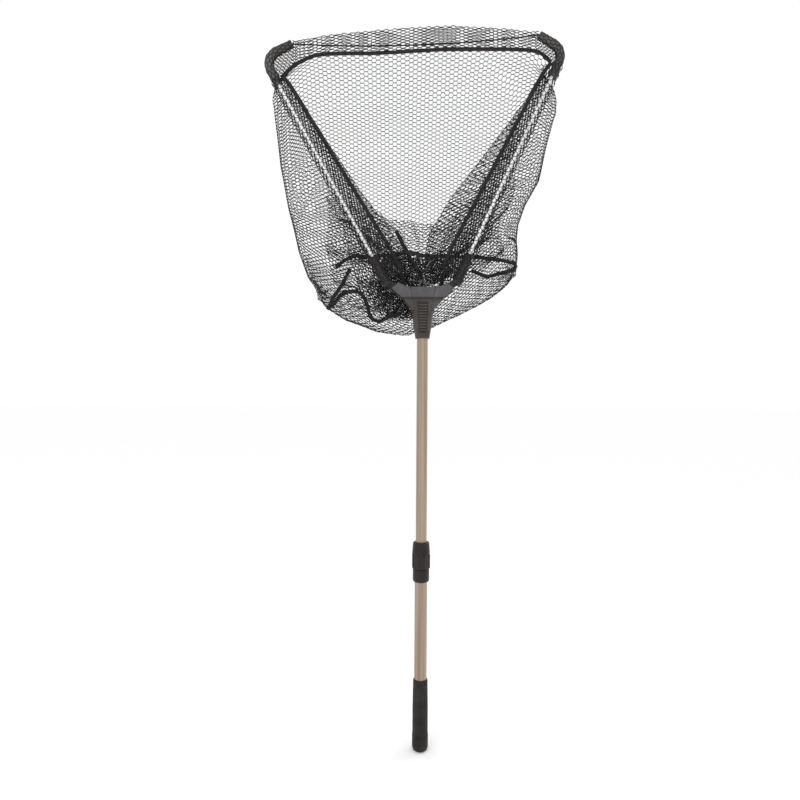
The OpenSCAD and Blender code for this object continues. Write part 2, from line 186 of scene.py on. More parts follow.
def hem_lines():
    """Top and foot line of the front sleeve, from the CAD node's outer face."""
    points = node_points("front_hem")
    depth = np.abs(points[:, 1])
    outer = np.unique(np.round(points[depth > depth.max() - 0.1 * MM][:, [0, 2]], 5), axis=0)
    cord = cord_line()
    height = np.interp(outer[:, 0], cord[:, 0], cord[:, 2])
    top = outer[outer[:, 1] > height]
    foot = outer[outer[:, 1] <= height]
    return top[np.argsort(top[:, 0])], foot[np.argsort(foot[:, 0])]


def cord_line():
    """Centres of the rings of the CAD cord, from left to right."""
    points = node_points("front_cord")
    points = points[np.argsort(points[:, 0])]
    gaps = np.where(np.diff(points[:, 0]) > 5 * MM)[0] + 1
    return np.array([ring.mean(0) for ring in np.split(points, gaps)])


CORNER_RISE = {"left": 12 * MM, "right": 26 * MM}   # tape corner above the elbow's foot
CORNER_INSET = {"left": 12.5 * MM, "right": 13.5 * MM}
TAPE_LIFT = {0: 5 * MM, 1: 6 * MM, -1: 10 * MM}   # the front tape's rise near its corners
TAPE_INSET = 3 * MM                               # and its way inwards at the right one
SAG_HALF_WAY = np.array([9, -15]) * MM            # the mouth's edge between sleeve and apex
SAG_AT_APEX = np.array([18, -2]) * MM
EYE_LOW, EYE_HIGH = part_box("net_eye")
APEX = np.array([0.0, EYE_HIGH.z + 8 * MM])
TAPE_GAP = TAPE_WIDTH / 2 + 0.4 * MM

HEM_TOP, HEM_FOOT = hem_lines()


def corner(arm):
    return arm.world([arm.rod_x - CORNER_INSET[arm.name], arm.cap_foot + CORNER_RISE[arm.name]])


def mouth_side(arm):
    """Centre line of one arm's binding tape, from the elbow's corner down to the apex."""
    line = [corner(arm)]
    for z in np.linspace(arm.hem_top - 4 * MM, arm.hem_foot, 6):
        line.append(arm.world([arm.inner_edge(z) - TAPE_GAP, z]))
    line.append((line[-1] + APEX) * 0.5 + SAG_HALF_WAY * [arm.sign, 1])
    line.append(APEX + SAG_AT_APEX * [arm.sign, 1])
    line.append(APEX)
    return rounded(line, 160)


def mouth_top():
    """Centre line of the front binding tape, from the left corner to the right one."""
    foot = HEM_FOOT - np.array([0.0, TAPE_GAP])
    for point, lift in TAPE_LIFT.items():
        foot[point, 1] += lift
    foot[-1, 0] -= TAPE_INSET
    return rounded(np.vstack([corner(ARMS["left"]), foot, corner(ARMS["right"])]), 240)


MOUTH = {name: mouth_side(ARMS[name]) for name in SIDES}
MOUTH_TOP = mouth_top()


def tape_height(x):
    """z of the front tape's centre line."""
    return np.interp(x, MOUTH_TOP[:, 0], MOUTH_TOP[:, 1])


# ---- Meshes ----

def mesh_object(name, solid, look):
    """A smooth-shaded mesh of a solid: vertices, and face arrays with equal corner counts."""
    verts, groups = solid
    mesh = bpy.data.meshes.new(name)
    groups = [g for g in groups if len(g)]
    loops = np.concatenate([g.ravel() for g in groups]).astype(np.int32)
    totals = np.concatenate([np.full(len(g), g.shape[1]) for g in groups])
    starts = np.concatenate([[0], np.cumsum(totals)[:-1]]).astype(np.int32)
    mesh.vertices.add(len(verts))
    mesh.vertices.foreach_set("co", np.asarray(verts, np.float32).ravel())
    mesh.loops.add(len(loops))
    mesh.loops.foreach_set("vertex_index", loops)
    mesh.polygons.add(len(totals))
    mesh.polygons.foreach_set("loop_start", starts)
    mesh.polygons.foreach_set("use_smooth", np.ones(len(totals), bool))
    mesh.update(calc_edges=True)
    mesh.validate()
    mesh.materials.append(look.material)
    piece = bpy.data.objects.new(name, mesh)
    bpy.context.scene.collection.objects.link(piece)
    return piece


def joined(parts):
    """Several (vertices, face groups) as one."""
    verts, groups, base = [], [], 0
    for part_verts, part_groups in parts:
        verts.append(part_verts)
        groups += [g + base for g in part_groups]
        base += len(part_verts)
    return np.vstack(verts), groups


def tubes(starts, ends, radius, sides):
    """Closed straight tubes, one for each pair of points."""
    axis = ends - starts
    length = np.linalg.norm(axis, axis=1)
    keep = length > 0.2 * MM
    starts, ends, axis = starts[keep], ends[keep], axis[keep] / length[keep, None]
    upright = np.where(np.abs(axis[:, 1:2]) > 0.9, [[1.0, 0.0, 0.0]], [[0.0, 1.0, 0.0]])
    side = np.cross(axis, upright)
    side /= np.linalg.norm(side, axis=1, keepdims=True)
    other = np.cross(side, axis)
    turn = 2 * math.pi * np.arange(sides) / sides
    ring = (np.cos(turn)[None, :, None] * side[:, None, :]
            + np.sin(turn)[None, :, None] * other[:, None, :]) * radius
    verts = np.stack([starts[:, None] + ring, ends[:, None] + ring], 1).reshape(-1, 3)
    first = (np.arange(len(starts)) * 2 * sides)[:, None, None]
    k = np.arange(sides)
    wall = np.stack([k, sides + k, sides + (k + 1) % sides, (k + 1) % sides], 1)
    walls = (first + wall[None]).reshape(-1, 4)
    caps = np.stack([k, sides + k[::-1]])
    return verts, [walls, (first + caps[None]).reshape(-1, sides)]


def sweep(path, across, through, ring):
    """A closed solid swept along a path; ring points are given as (across, through) offsets."""
    ring = np.asarray(ring)
    n, m = len(path), len(ring)
    verts = (path[:, None, :] + ring[None, :, 0:1] * across[:, None, :]
             + ring[None, :, 1:2] * through[:, None, :]).reshape(-1, 3)
    i = np.arange(n - 1)[:, None]
    k = np.arange(m)[None, :]
    walls = np.stack([i * m + k, i * m + (k + 1) % m, (i + 1) * m + (k + 1) % m,
                      (i + 1) * m + k], -1).reshape(-1, 4)
    caps = np.stack([np.arange(m)[::-1], (n - 1) * m + np.arange(m)])
    return verts, [walls, caps]


def directions(path):
    step = np.gradient(path, axis=0)
    return step / np.linalg.norm(step, axis=1, keepdims=True)


def level_across(tangent):
    """Directions across a path that lie in the mouth's plane."""
    across = np.cross(tangent, [0.0, 1.0, 0.0])
    return across / np.linalg.norm(across, axis=1, keepdims=True)


def square_to(line):
    """Directions square to a line of [x, z] points."""
    tangent = directions(line)
    return np.stack([tangent[:, 1], -tangent[:, 0]], 1)


def round_ring(radius, count):
    turn = -2 * math.pi * np.arange(count) / count
    return np.stack([np.cos(turn), np.sin(turn)], 1) * radius


# A tape's cross-section, in half widths and half thicknesses: rounded edges, thinner middle
TAPE_OUTLINE = [(-1, 0.3), (-1, -0.3), (-0.9, -1), (-0.3, -0.8), (0.3, -0.8), (0.9, -1),
                (1, -0.3), (1, 0.3), (0.9, 1), (0.3, 0.8), (-0.3, 0.8), (-0.9, 1)]


def ribbon(path, width, thick, roll):
    """A soft tape along a path in the mouth's plane, rolled about its own line by an angle."""
    tangent = directions(path)
    flat = level_across(tangent)
    up = np.cross(flat, tangent)
    c, s = np.cos(roll)[:, None], np.sin(roll)[:, None]
    across, through = flat * c + up * s, up * c - flat * s
    outline = np.array(TAPE_OUTLINE) * [width / 2, thick / 2]
    return sweep(path, across, through, outline), across, through


def stitches(path, across, through, offset, lift):
    """A row of raised stitches along a tape."""
    s = along_path(path)
    line = path + across * offset + through * lift
    starts = np.arange(STITCH_PITCH / 2, s[-1] - STITCH_PITCH, STITCH_PITCH)
    ends = starts + STITCH_PITCH * STITCH_SHARE
    return tubes(at_distance(line, s, starts), at_distance(line, s, ends), STITCH_RADIUS, 5)


CUT_STEPS = 8              # halvings that find where a strand crosses its region's edge


def lattice(inside, place, origin, reach, turn=0.0, scale=(1.0, 1.0)):
    """Hexagonal net over a flat region around an origin, laid onto a surface by place().

    inside() says which flat points are in the region; strands that cross its edge are cut there.
    A scale under 1 is net that is pulled together, across or down.
    """
    wide, tall = CELL_ACROSS * scale[0], CELL_DOWN * scale[1]
    cols = np.arange(-int(reach[0] / wide) - 2, int(reach[0] / wide) + 3)
    rows = np.arange(-int(reach[1] / tall) - 2, int(reach[1] / tall) + 3)
    col, row = [g.ravel() for g in np.meshgrid(cols, rows, indexing="ij")]
    at = np.stack([col * wide, (row + 0.5 * (col % 2)) * tall], 1)
    half = np.array([BAR_LENGTH * scale[0] / 2, 0.0])
    next_left = at + np.array([wide, 0.0]) - half
    step = np.array([0.0, tall / 2])
    strands = [(at - half, at + half, BAR_RADIUS, 6),
               (at + half, next_left + step, LEG_RADIUS, 4),
               (at + half, next_left - step, LEG_RADIUS, 4)]
    c, s = math.cos(turn), math.sin(turn)
    spin = np.array([[c, s], [-s, c]])
    parts = []
    for a, b, radius, sides in strands:
        a, b = a @ spin + origin, b @ spin + origin
        in_a, in_b = inside(a), inside(b)
        cut = in_a ^ in_b
        keep_in = np.where(in_a[:, None], a, b)[cut]
        keep_out = np.where(in_a[:, None], b, a)[cut]
        low_t, high_t = np.zeros(cut.sum()), np.ones(cut.sum())
        for _ in range(CUT_STEPS):
            mid = (low_t + high_t) / 2
            ok = inside(keep_in + (keep_out - keep_in) * mid[:, None])
            low_t, high_t = np.where(ok, mid, low_t), np.where(ok, high_t, mid)
        edge = keep_in + (keep_out - keep_in) * low_t[:, None]
        whole = in_a & in_b
        starts = place(np.vstack([a[whole], keep_in]))
        ends = place(np.vstack([b[whole], edge]))
        parts.append(tubes(starts, ends, radius, sides))
    return joined(parts)


# ---- Bag: sections from the back's middle, round the side, to the mouth's edge ----

BAG_TOP_Y = 1.2 * MM
BAG_FRONT_Y = 17.5 * MM
BAG_BACK_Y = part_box("bag_back_panel")[1].y - 8 * MM
BAG_FOOT_Y = 66 * MM
BELLY = 0.78            # share of the way down at which the back is deepest and starts to close
FRONT_CLOSES = 0.86     # and at which the front starts to
FRONT_GROWS = 0.09      # the front has its depth by here
BACK_POWERS = (2.4, 0.85)   # how fast the back gets its depth
SIDES_GROW = 0.03       # the sides reach the bag's outline by here ...
SIDES_CLOSE = 0.9       # ... and turn into the foot's corners from here
FOOT_POWER = 16         # how late the foot's line turns up into its corners
ROUNDNESS = 3.2         # superellipse power of the bag's sections
FRONT_LIMIT = 55 * MM   # net deeper than this isn't the front net
SECTION_STEPS = 400
ROWS = 220
SAMPLES = 260
PULL_DOWN = 22 * MM     # under the apex the front net is pulled forwards over this height ...
PULL_WIDE = 14 * MM     # ... and this width
FOLD = {   # how far the front net falls inside the tape before it turns back, by height
    "left": ([0.95, 1.00, 1.05, 1.12, 1.22, 1.40], [6, 26, 24, 12, 5, 3]),
    "right": ([0.95, 1.00, 1.04, 1.11, 1.19, 1.31, 1.40], [8, 48, 62, 56, 36, 4, 3]),
}
FOLD_LEAST = 2 * MM
FOLD_FADES = 30 * MM    # the fold dies away over this height above the apex
FOLD_DROOP = 0.12       # drop of the fold, as a share of its reach
FOLD_INWARD = [0.55, 0.95, 1.0, 0.9, 0.5, 0.15, 0.0]    # its shape: shares of its reach ...
FOLD_DEPTH = [1.05, 0.95, 0.72, 0.5, 0.34, 0.16, 0.0]   # ... and of its first depth
HANGING_WAVE = 62 * MM  # size of the net's long folds ...
SMALL_WAVE = 26 * MM    # ... of the small ones on them ...
SWAY_WAVE = 90 * MM     # ... and of the rows' sway up and down
CRUMPLE_TOP = 3 * MM    # depth of the long folds at the bag's top ...
CRUMPLE_MORE = 9 * MM   # ... and what its foot adds
SMALL_SHARE = 0.3       # depth of the small folds against the long ones
FRONT_SHARE = 0.7       # the front net's folds against the back's; they only go backwards
ROW_SWAY = 5 * MM
FOOT_CORNER = {"left": np.array([-0.219, 0.910]), "right": np.array([0.199, 0.960])}
# Where the bag's outer edge leaves the CAD's: from height, to height, eased over, outwards by
EDGE_SHIFTS = {
    "left": [(1.282, math.inf, 0.032, 0.013)],
    "right": [(1.000, 1.315, 0.040, -0.005), (1.300, 1.350, 0.020, 0.004)],
}


def bag_outline():
    """The bag's widest outline in the CAD, as [x, z] round its middle, by angle."""
    points = node_points("bag_side_panel")
    widest = points[np.argmin(points[:, 0]), 1]
    wide = points[np.abs(points[:, 1] - widest) < 0.2 * MM][:, [0, 2]]
    middle = (wide.min(0) + wide.max(0)) / 2
    rel = wide - middle
    angle = np.arctan2(rel[:, 0], -rel[:, 1])
    radius = np.linalg.norm(rel, axis=1)
    bins = np.linspace(-math.pi, math.pi, 61)
    which = np.digitize(angle, bins)
    outer = [np.argmax(np.where(which == k, radius, -1)) for k in range(1, 61)
             if (which == k).any()]
    order = np.argsort(angle[outer])
    return wide[np.array(outer)[order]]


OUTLINE = bag_outline()


def outline_x(name, z):
    """x of the bag's outer edge on one side at a height."""
    sign = SIDES[name]
    side = OUTLINE[OUTLINE[:, 0] * sign > 60 * MM]
    side = side[np.argsort(side[:, 1])]
    x = np.interp(z, side[:, 1], side[:, 0])
    for low, high, ease, outwards in EDGE_SHIFTS[name]:
        x += sign * outwards * smooth((z - low) / ease) * smooth((high - z) / ease)
    return x


def outline_foot(x):
    """z of the bag's foot."""
    low = OUTLINE[OUTLINE[:, 1] < 0.99]
    low = low[np.argsort(low[:, 0])]
    return np.interp(x, low[:, 0], low[:, 1])


def closing(depth, t, start):
    """A depth that closes to the foot's in a quarter round, from a share of the way down."""
    if t <= start:
        return depth
    close = math.sqrt(max(0.0, 1 - ((t - start) / (1 - start)) ** 2))
    return BAG_FOOT_Y + (depth - BAG_FOOT_Y) * close


class BagHalf:
    """One half of the bag: a table of points by row (down) and by share of the section."""

    def __init__(self, name):
        self.name = name
        self.sign = SIDES[name]
        self.corner = corner(ARMS[name])
        self.rows = np.linspace(0.0, 1.0, ROWS)
        self.table = np.array([resampled(self.section(t), SAMPLES) for t in self.rows])
        self.crumple()
        self.lengths = np.array([along_path(s)[-1] for s in self.table])
        self.down = along_path(self.table[:, 0])
        columns = [along_path(self.table[:, j])[-1] for j in range(SAMPLES)]
        self.column_scale = np.minimum(np.array(columns) / self.down[-1], 1.0)

    def depths(self, t):
        """Front and back depth of the bag at a share of the way down."""
        grown = (1 - (1 - min(t / BELLY, 1)) ** BACK_POWERS[0]) ** BACK_POWERS[1]
        back = BAG_TOP_Y + (BAG_BACK_Y - BAG_TOP_Y) * grown
        front = BAG_TOP_Y + (BAG_FRONT_Y - BAG_TOP_Y) * smooth(t / FRONT_GROWS)
        return closing(front, t, FRONT_CLOSES), closing(back, t, BELLY)

    def flat(self, u, t):
        """[x, z] at a share u of the half width and a share t of the way down."""
        foot_corner = FOOT_CORNER[self.name]
        side_z = (1 - t) * self.corner[1] + t * foot_corner[1]
        grown = smooth(t / SIDES_GROW)
        side_x = self.corner[0] * (1 - grown) + outline_x(self.name, side_z) * grown
        if t > SIDES_CLOSE:
            share = (t - SIDES_CLOSE) / (1 - SIDES_CLOSE)
            side_x = side_x * (1 - share) + foot_corner[0] * share
        top = tape_height(u * self.corner[0])
        at_corner = u ** FOOT_POWER
        foot = outline_foot(u * foot_corner[0]) * (1 - at_corner) + foot_corner[1] * at_corner
        return np.stack([u * side_x, (1 - t) * top + t * foot], -1)

    def section(self, t):
        """The bag at a share of the way down, from the back's middle to the mouth's edge."""
        front, back = self.depths(t)
        turn = np.linspace(0.0, math.pi, SECTION_STEPS)
        u = np.abs(np.sin(turn)) ** (2 / ROUNDNESS)
        v = np.sign(np.cos(turn)) * np.abs(np.cos(turn)) ** (2 / ROUNDNESS)
        middle = (front + back) / 2
        y = middle + np.where(v > 0, back - middle, middle - front) * v
        flat = self.flat(u, t)
        path = in_space(flat, y)
        front_half = turn > math.pi / 2
        edge_x = np.interp(-flat[:, 1], -MOUTH[self.name][:, 1], MOUTH[self.name][:, 0])
        crossed = front_half & (flat[:, 0] * self.sign <= edge_x * self.sign)
        crossed &= flat[:, 1] > APEX[1]
        if t == 0.0:
            return path[turn <= math.pi / 2]
        if crossed.any():
            end = int(np.argmax(crossed))
            path = path[:end + 1]
            return np.vstack([path, self.fold(path[-1])])
        drop = APEX[1] - flat[-1, 1]
        pull = (1 - smooth(drop / PULL_DOWN)) * np.exp(-(flat[:, 0] / PULL_WIDE) ** 2)
        path[:, 1] -= np.where(front_half, pull * (path[:, 1] - BAG_TOP_Y), 0.0)
        return path

    def fold(self, start):
        """From behind the sleeve, inwards past the tape and back to it."""
        heights, depths = FOLD[self.name]
        reach = np.interp(start[2], heights, depths) * MM
        reach = reach * smooth((start[2] - APEX[1]) / FOLD_FADES) + FOLD_LEAST
        share = start[1] - BAG_TOP_Y
        points = [start]
        for i, d in zip(FOLD_INWARD, FOLD_DEPTH):
            points.append([start[0] - self.sign * i * reach, BAG_TOP_Y + share * d,
                           start[2] - FOLD_DROOP * reach * i])
        return rounded(points, 40)[1:]

    def crumple(self):
        """Soft hanging folds in the net, growing towards the foot."""
        flat = self.table.reshape(-1, 3)
        down = np.repeat(self.rows, SAMPLES)
        along = np.tile(np.linspace(0.0, 1.0, SAMPLES), ROWS)
        hanging = waves(flat * [1.0, 1.0, 0.35], HANGING_WAVE, 1)
        small = waves(flat, SMALL_WAVE, 2)
        strength = CRUMPLE_TOP + CRUMPLE_MORE * smooth((down - 0.25) / 0.6)
        free = smooth(down / 0.08) * smooth((1 - along) / 0.18)
        shift = (hanging + small * SMALL_SHARE) * strength * free
        middle = (BAG_FRONT_Y + BAG_BACK_Y) / 2
        in_front = smooth(0.5 + (middle - flat[:, 1]) / (60 * MM))
        shift = (1 - in_front) * shift + in_front * np.abs(shift) * FRONT_SHARE
        flat[:, 1] += shift
        held = np.clip((1 - along) * 60, 0, 1)      # no sway right at the mouth's edge
        sway = waves(flat * [0.6, 1.0, 1.4], SWAY_WAVE, 3) * ROW_SWAY * free * held
        flat[:, 2] += sway * smooth(along / 0.05)
        self.table = flat.reshape(ROWS, SAMPLES, 3)

    def depth_down(self, p):
        """Distance down the bag's middle that matches a point of the flat net.

        The bag's sides are shorter than its middle, so a row of cells sits lower there.
        """
        length = np.interp(p[:, 1], self.down, self.lengths)
        share = np.clip(p[:, 0] / length, 0.0, 1.0)
        return p[:, 1] / np.interp(share, np.linspace(0.0, 1.0, SAMPLES), self.column_scale)

    def inside(self, p):
        down = self.depth_down(p)
        length = np.interp(down, self.down, self.lengths)
        return (p[:, 0] > 0) & (p[:, 0] < length) & (down > 0) & (down < self.down[-1])

    def place(self, p):
        row = np.interp(self.depth_down(p), self.down, np.arange(ROWS))
        length = np.interp(row, np.arange(ROWS), self.lengths)
        share = np.clip(p[:, 0] / np.maximum(length, 1e-6), 0, 1) * (SAMPLES - 1)
        i = np.clip(row.astype(int), 0, ROWS - 2)
        j = np.clip(share.astype(int), 0, SAMPLES - 2)
        a, b = (row - i)[:, None], (share - j)[:, None]
        table = self.table
        return ((1 - a) * (1 - b) * table[i, j] + (1 - a) * b * table[i, j + 1]
                + a * (1 - b) * table[i + 1, j] + a * b * table[i + 1, j + 1])

    def surface_y(self, x, z):
        """Depth of the front net at [x, z], from the nearest table point."""
        half = self.table[:, SAMPLES // 2:]
        far = (half[..., 0] - x) ** 2 + (half[..., 2] - z) ** 2
        far += np.where(half[..., 1] > FRONT_LIMIT, 1.0, 0.0)
        return half[np.unravel_index(np.argmin(far), far.shape)][1]


BAG = {name: BagHalf(name) for name in SIDES}


# ---- Looks ----

def linear(rgb):
    """An sRGB colour of 0 to 255 as linear numbers."""
    values = [c / 255 for c in rgb]
    return [c / 12.92 if c <= 0.04045 else ((c + 0.055) / 1.055) ** 2.4 for c in values]


class Look:
    """A material in the making. Its plain numbers sit on the shader's own sockets."""

    def __init__(self, name, rough, metallic=0.0, specular=0.5, sheen=0.0):
        self.material = bpy.data.materials.new(name)
        self.material.use_nodes = True
        self.tree = self.material.node_tree
        self.shader = self.tree.nodes["Principled BSDF"].inputs
        self.shader["Roughness"].default_value = rough
        self.shader["Metallic"].default_value = metallic
        self.shader["Specular IOR Level"].default_value = specular
        self.shader["Sheen Weight"].default_value = sheen

    def node(self, kind, links=(), **values):
        """A new node; its sockets are set by name, with (name, source) links and plain values."""
        node = self.tree.nodes.new(f"ShaderNode{kind}")
        for name, value in values.items():
            node.inputs[name.replace("_", " ")].default_value = value
        for name, source in links:
            self.tree.links.new(source, node.inputs[name])
        return node

    def texture(self, kind, stretch=(1, 1, 1), **values):
        """A texture in the piece's own space, stretched along its axes."""
        coords = self.node("TexCoord").outputs["Object"]
        mapping = self.node("Mapping", [("Vector", coords)], Scale=stretch)
        return self.node(kind, [("Vector", mapping.outputs["Vector"])], **values)

    def noise(self, scale, detail, rough, stretch=(1, 1, 1)):
        texture = self.texture("TexNoise", stretch, Scale=scale, Detail=detail, Roughness=rough)
        return texture.outputs["Fac"]

    def wave(self, scale, distortion, bands, stretch=(1, 1, 1)):
        texture = self.texture("TexWave", stretch, Scale=scale, Distortion=distortion)
        texture.bands_direction = bands
        return texture.outputs["Fac"]

    def paint(self, value, *stops, convert=linear):
        """Base colour by a value, from stops of a position and a colour."""
        node = self.node("ValToRGB", [("Fac", value)])
        elements = node.color_ramp.elements
        while len(elements) < len(stops):
            elements.new(0.5)
        for element, (position, colour) in zip(elements, stops):
            element.position = position
            element.color = (*convert(colour), 1.0)
        self.tree.links.new(node.outputs["Color"], self.shader["Base Color"])

    def roughen(self, value, low, high):
        """Roughness from low to high by a value."""
        node = self.node("MapRange", [("Value", value)], From_Min=0.3, From_Max=0.7,
                         To_Min=low, To_Max=high)
        self.tree.links.new(node.outputs["Result"], self.shader["Roughness"])

    def combine(self, kind, a, b):
        node = self.node("Math")
        node.operation = kind
        for socket, value in zip(node.inputs, (a, b)):
            if isinstance(value, float):
                socket.default_value = value
            else:
                self.tree.links.new(value, socket)
        return node.outputs[0]

    def mixture(self, a, b, share):
        """Two values as one, with this share of the second."""
        return self.combine("ADD", self.combine("MULTIPLY", a, 1.0 - share),
                            self.combine("MULTIPLY", b, share))

    def bump(self, *heights):
        """Bumps one on another, each a value, a distance and a strength."""
        below = []
        for value, distance, strength in heights:
            node = self.node("Bump", [("Height", value)] + below, Distance=distance,
                             Strength=strength)
            below = [("Normal", node.outputs["Normal"])]
        self.tree.links.new(node.outputs["Normal"], self.shader["Normal"])

    def tint(self, axis, start, end, colour):
        """Multiplies the base colour by another, more and more from start to end of an axis."""
        coords = self.node("TexCoord").outputs["Object"]
        split = self.node("SeparateXYZ", [("Vector", coords)])
        share = self.node("MapRange", [("Value", split.outputs[axis])], From_Min=start,
                          From_Max=end)
        mix = self.node("Mix")
        mix.data_type = "RGBA"
        mix.blend_type = "MULTIPLY"
        factor, first, second = mix.inputs[0], mix.inputs[6], mix.inputs[7]
        second.default_value = (*colour, 1.0)
        self.tree.links.new(share.outputs["Result"], factor)
        self.tree.links.new(self.shader["Base Color"].links[0].from_socket, first)
        self.tree.links.new(mix.outputs[2], self.shader["Base Color"])


def moulded_plastic(name, dark, light, rough, grain=900.0, grain_depth=0.05 * MM, speckle=0.0):
    """Moulded plastic with a fine spark grain, cloudy colour and light scuffs."""
    look = Look(name, rough, specular=0.3)
    cloud = look.noise(28.0, 5.0, 0.55)
    fine = look.noise(grain, 3.0, 0.6)
    scuff = look.noise(1.0, 6.0, 0.7, (260.0, 260.0, 30.0))
    look.paint(look.mixture(cloud, fine, 0.5 * speckle), (0.36, dark), (0.66, light))
    look.roughen(scuff, rough + 0.10, rough - 0.08)
    look.bump((fine, grain_depth, 0.6), (scuff, 0.02 * MM, 0.3))
    return look


def drawn_aluminium(name, dark, light, rough, metallic):
    """Anodised tube with fine lines along its length, rubbed bright in places."""
    look = Look(name, rough, metallic)
    lines = look.noise(1.0, 3.0, 0.6, (900.0, 900.0, 4.0))
    cloud = look.noise(1.0, 3.0, 0.5, (150.0, 150.0, 2.5))
    rub = look.noise(1.0, 8.0, 0.75, (120.0, 120.0, 9.0))
    look.paint(look.mixture(lines, cloud, 0.55), (0.35, dark), (0.65, light))
    look.roughen(rub, rough - 0.07, rough + 0.10)
    look.bump((lines, 0.02 * MM, 0.5), (rub, 0.01 * MM, 0.4))
    return look


def grip_rubber():
    """Matt foamed rubber: small pits, dusty lighter patches and soft hand wear."""
    look = Look("grip_rubber", 0.78, specular=0.2, sheen=0.05)
    pits = look.texture("TexVoronoi", Scale=620.0).outputs["Distance"]
    dust = look.noise(45.0, 6.0, 0.65)
    look.paint(dust, (0.35, (29, 27, 26)), (0.62, (45, 42, 41)), (0.85, (60, 56, 54)))
    look.roughen(dust, 0.86, 0.66)
    look.bump((pits, 0.25 * MM, 0.7), (dust, 0.2 * MM, 0.35))
    return look


def woven_tape(name, dark, light):
    """Polyester binding: a fine over-and-under weave with a soft sheen."""
    look = Look(name, 0.82, specular=0.2, sheen=0.08)
    warp = look.wave(1.4, 1.5, "X", (900.0, 900.0, 0.0))
    weft = look.wave(1.4, 1.5, "X", (0.0, 900.0, 900.0))
    weave = look.combine("MULTIPLY", warp, weft)
    cloud = look.noise(60.0, 5.0, 0.6)
    look.paint(look.mixture(weave, cloud, 0.65), (0.2, dark), (0.75, light))
    look.bump((weave, 0.2 * MM, 0.7), (cloud, 0.4 * MM, 0.4))
    return look


def net_strand():
    """Twisted nylon yarn, near black, lifted towards grey as painted sheen in random patches."""
    look = Look("net_strand", 0.62, specular=0.22, sheen=0.04)
    cloud = look.noise(22.0, 5.0, 0.6)
    # painted sheen: the near-black yarn's colour is raised to grey
    look.paint(cloud, (0.35, (28, 27, 28)), (0.7, (48, 46, 47)))
    look.roughen(cloud, 0.70, 0.52)
    look.bump((look.wave(900.0, 0.0, "DIAGONAL"), 0.1 * MM, 0.5))
    return look


def braided_cord():
    look = Look("braided_cord", 0.6, specular=0.25, sheen=0.05)
    braid = look.wave(520.0, 2.0, "DIAGONAL")
    mixed = look.combine("MULTIPLY", braid, look.noise(40.0, 4.0, 0.6))
    look.paint(mixed, (0.1, (22, 21, 23)), (0.6, (58, 56, 58)))
    look.bump((braid, 0.3 * MM, 0.7))
    return look


def brushed_steel():
    look = Look("steel", 0.34, metallic=1.0)
    grain = look.noise(1.0, 5.0, 0.6, (300.0, 300.0, 300.0))
    look.paint(grain, (0.35, (128, 129, 132)), (0.7, (178, 180, 184)))
    look.roughen(grain, 0.26, 0.46)
    look.bump((grain, 0.02 * MM, 0.5))
    return look


COVER_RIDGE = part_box("net_eye")[0].z - 16 * MM    # the line across the front cover
SLIDER_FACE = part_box("thumb_slider")[0].y          # outer face of the thumb pad's ribs
NET = net_strand()
TAPE = woven_tape("woven_tape", (32, 29, 30), (60, 55, 57))
CORD = braided_cord()
THREAD = woven_tape("stitching_thread", (26, 24, 25), (52, 48, 50))
PLASTICS = {    # dark and light colour (sRGB), roughness, and the caps' coarser grain
    "black_plastic": ((20, 20, 21), (34, 34, 35), 0.5),
    "collar_plastic": ((23, 18, 16), (39, 33, 31), 0.42),
    "cover_plastic": ((68, 67, 69), (89, 87, 90), 0.42),
    "nylon": ((206, 200, 186), (226, 221, 210), 0.5),
    "head_plastic": ((50, 47, 44), (68, 64, 60), 0.44),
    "socket_plastic": ((30, 28, 27), (48, 45, 43), 0.46),
    "cap_plastic": ((58, 56, 53), (104, 101, 97), 0.6, 620.0, 0.18 * MM, 1.0),
    "slider_plastic": ((56, 53, 50), (76, 72, 68), 0.44),
    "blackened_rivet": ((30, 30, 31), (52, 52, 53), 0.4),
}
ALUMINIUM = {   # dark and light colour (sRGB), roughness, metallic share
    "lower_aluminium": ((140, 115, 94), (170, 156, 142), 0.36, 0.75),
    "upper_aluminium": ((142, 121, 96), (177, 163, 148), 0.34, 0.75),
    "rod_aluminium": ((222, 224, 227), (250, 251, 252), 0.30, 0.45),
}
LOOKS = {
    "grip_rubber": grip_rubber(),
    "steel": brushed_steel(),
    "mesh": NET,
    "tape": TAPE,
    "cord": CORD,
}
LOOKS.update({name: moulded_plastic(name, *look) for name, look in PLASTICS.items()})
LOOKS.update({name: drawn_aluminium(name, *look) for name, look in ALUMINIUM.items()})
# Painted shade: a shadow line under the head's ridge, darker browner plastic on the face below,
# and a thumb pad darkened in its recesses behind the ribs' face: look, axis, from, to, colour
PAINTED_SHADES = [
    # painted shade: all under the ridge, darkest in the line just under it
    ("cover_plastic", "Z", COVER_RIDGE + MM, COVER_RIDGE - 1.5 * MM, (0.36, 0.34, 0.32)),
    # painted shade eases below the line, leaving the lower face darker and browner
    ("cover_plastic", "Z", COVER_RIDGE - 2.5 * MM, COVER_RIDGE - 9 * MM, (1.9, 1.85, 1.7)),
    # painted shade in the thumb pad's recesses between its ribs
    ("slider_plastic", "Y", SLIDER_FACE + 0.3 * MM, SLIDER_FACE + MM, (0.22, 0.21, 0.20)),
]
for tinted_look, *tinting in PAINTED_SHADES:
    LOOKS[tinted_look].tint(*tinting)
NODE_LOOKS = {  # nodes that don't take the look of their record's slot
    "thumb_slider": "slider_plastic",
    "left_rivets": "blackened_rivet",
    "right_rivets": "blackened_rivet",
    "net_eye": "cover_plastic",
}
EDGE_ROUNDING = {
    "head_cover": 0.9 * MM, "head_body": 0.9 * MM, "thumb_slider": 0.35 * MM,
    "lock_nut": 0.6 * MM, "collar_base": 0.5 * MM, "net_eye": 0.6 * MM,
    "left_arm_socket": 0.8 * MM, "right_arm_socket": 0.8 * MM, "grip": 0.8 * MM,
    "left_corner_cap": 0.8 * MM, "right_corner_cap": 0.8 * MM,
}


